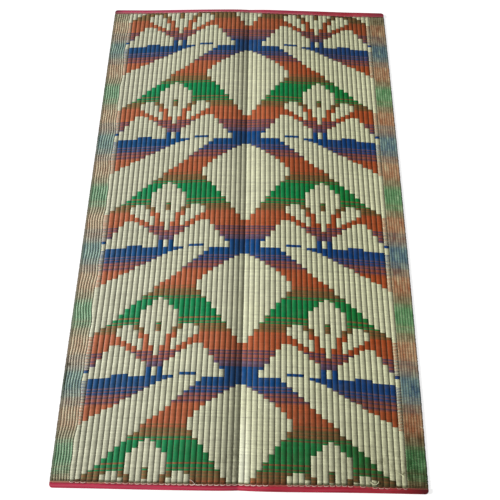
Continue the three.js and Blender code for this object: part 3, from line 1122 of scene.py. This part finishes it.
def tube(route, radius):
    """Points and faces of a round tube along a route, open at its ends."""
    ahead = np.gradient(route, axis=0)
    ahead /= np.linalg.norm(ahead, axis=1)[:, None]
    sideways = np.cross(ahead, (0, 0, 1))
    sideways /= np.linalg.norm(sideways, axis=1)[:, None]
    upward = np.cross(sideways, ahead)
    turn = np.arange(THREAD_SIDES) / THREAD_SIDES * 2 * math.pi
    ring = np.cos(turn)[:, None, None] * sideways + np.sin(turn)[:, None, None] * upward
    points = (route + radius * ring).transpose(1, 0, 2).reshape(-1, 3)
    return points, ring_faces(len(route), THREAD_SIDES)


def stitches(name, end, fullness, material):
    """The seam of a binding: a bow of thread over each rib. fullness is the share that shows,
    from the left side of the mat to its right."""
    rng = np.random.default_rng(SEED + 3)
    starts = [(-start - width, width) for start, width in WIDE_RIBS[::-1]] + WIDE_RIBS
    tubes = []
    for start, width in starts:
        shown = np.interp(start, *fullness)
        over = np.linspace(*STITCH_SPAN, STITCH_STEPS)
        x = start + over * width
        bow = 1 - (2 * over - 1) ** 2
        _, open_edge = tape_lines(x, end)
        start_shift, dip_shift = rng.normal(0, STITCH_SPREAD, 2)
        first, dip = STITCH_START[end], STITCH_DIP[end]
        y = open_edge + first + start_shift + (dip - first + dip_shift) * bow
        low = pressed(GROOVE_OVER, x, end * y)
        rise = np.clip(bow * 2, 0, 1)
        z = between((low, TAPE_TOP + STITCH_LIFT), rise) + lift(x, end * y)
        radius = STITCH_RADIUS[end] * rng.uniform(*STITCH_RADIUS_SPREAD) * shown
        skipped = rng.random() > 0.5 + shown / 2
        x = x + stray(x, end * y, SWAY_X, SWAY, SWAY_ROUNDING)
        if not skipped:
            tubes.append(tube(np.stack([x, end * y, z], axis=1), radius))
    return joined(name, tubes, material)


# Loose ends near the foot: radius, height of the weave under them, and for each point the place
# across, the distance from the head end and the height above the weave
LOOSE_ENDS = {
    "loose_thread": (0.8, 5.2, (
        (-151, 1801, 0.3), (-145, 1802, 0.9), (-139, 1806, 1.0), (-135, 1811, 0.8),
        (-131, 1815, 0.4),
    )),
    "loose_straw": (0.9, 5.2, (
        (404, 1799, 0.2), (408, 1802.5, 1.4), (415, 1805, 2.4), (422, 1804, 2.2),
        (427, 1800.5, 1.2), (430, 1797, 0.2),
    )),
    "loose_bridge": (1.2, 5.2, (
        (492, 1774, -1.2), (496, 1775, -0.5), (501, 1776, -0.4), (505, 1777.5, -0.4),
        (508, 1781, -0.6), (509, 1785, -1.3),
    )),
    "loose_tip": (0.9, 2.7, (
        (573, 1641, 0.0), (577, 1642.5, 1.0), (581, 1644.5, 0.6), (584, 1647, -0.8),
    )),
}


def loose_end(name, material):
    """A thread or straw that has come loose from the weave."""
    radius, top, route = LOOSE_ENDS[name]
    x, from_head, above = np.array(route).T
    y = HALF_LENGTH - from_head
    points = np.stack([x, y, lift(x, y) + top + above], axis=1)
    return joined(name, [tube(points, radius)], material)


# Studio

# In metres and degrees. The key light comes from this high above the horizon on the left
KEY_SPREAD, KEY_HEIGHT, KEY_TOWARDS_FOOT = 12, 16, 0.1
CAMERA_PLACE = (0.02658, -0.48669, 1.25894)
# Pitch, yaw and roll
CAMERA_ANGLES = (14.823, 0.897, 0.140)


def studio():
    """Plain floor, soft light from the left, and the camera where the photograph was taken."""
    floor_data = bpy.data.meshes.new("floor")
    half = 6.0
    floor_data.from_pydata(
        [(-half, -half, 0), (half, -half, 0), (half, half, 0), (-half, half, 0)], [], [(0, 1, 2, 3)]
    )
    n = Nodes("floor_white")
    n.feed(n.shader.inputs["Emission Color"], (1, 1, 1))
    n.feed(n.shader.inputs["Emission Strength"], 0.75)
    floor_data.materials.append(n.finish((0.5, 0.5, 0.5), 0.9))
    new_object("floor", floor_data)

    sun_data = bpy.data.lights.new("key", "SUN")
    sun_data.energy = 6.3
    sun_data.angle = math.radians(KEY_SPREAD)
    low = math.radians(KEY_HEIGHT)
    direction = Vector((math.cos(low), -KEY_TOWARDS_FOOT, -math.sin(low)))
    sun = new_object("key", sun_data)
    sun.rotation_euler = direction.to_track_quat("-Z", "Y").to_euler()

    world = bpy.data.worlds.new("studio")
    world.use_nodes = True
    background = world.node_tree.nodes["Background"]
    background.inputs["Color"].default_value = (1, 1, 1, 1)
    background.inputs["Strength"].default_value = 0.19
    bpy.context.scene.world = world
    bpy.context.scene.view_settings.view_transform = "Standard"

    camera_data = bpy.data.cameras.new("camera")
    camera_data.sensor_width = 36.0
    camera_data.lens = 26.05
    camera = new_object("camera", camera_data)
    pitch, yaw, roll = (math.radians(angle) for angle in CAMERA_ANGLES)
    turn = Matrix.Rotation(yaw, 3, "Z") @ Matrix.Rotation(pitch, 3, "X")
    turn = turn @ Matrix.Rotation(roll, 3, "Z")
    camera.matrix_world = Matrix.Translation(CAMERA_PLACE) @ turn.to_4x4()
    bpy.context.scene.camera = camera


def main():
    """Makes every piece, hides the CAD parts that they stand in for, and sets up the studio."""
    straw_looks = straw_materials()
    straw_pieces = all_straws(straw_looks)
    sheet = inside_sheet()
    warp = warp_threads()
    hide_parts("woven_body")
    thread = thread_material("stitching_thread", 0.5)
    for end, side in zip(ENDS, (1, -1)):
        piece = binding(f"{end}_tape", side, tape_material(end))
        seam = stitches(f"{end}_stitches", side, STITCHES_SHOWN[side], thread)
        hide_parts(f"{end}_binding")
    plain_thread = thread_material("loose_thread_looks", 0.1)
    for name in LOOSE_ENDS:
        material = plain_thread if name == "loose_thread" else straw_looks["cream"]
        loose_end(name, material)
    studio()


main()
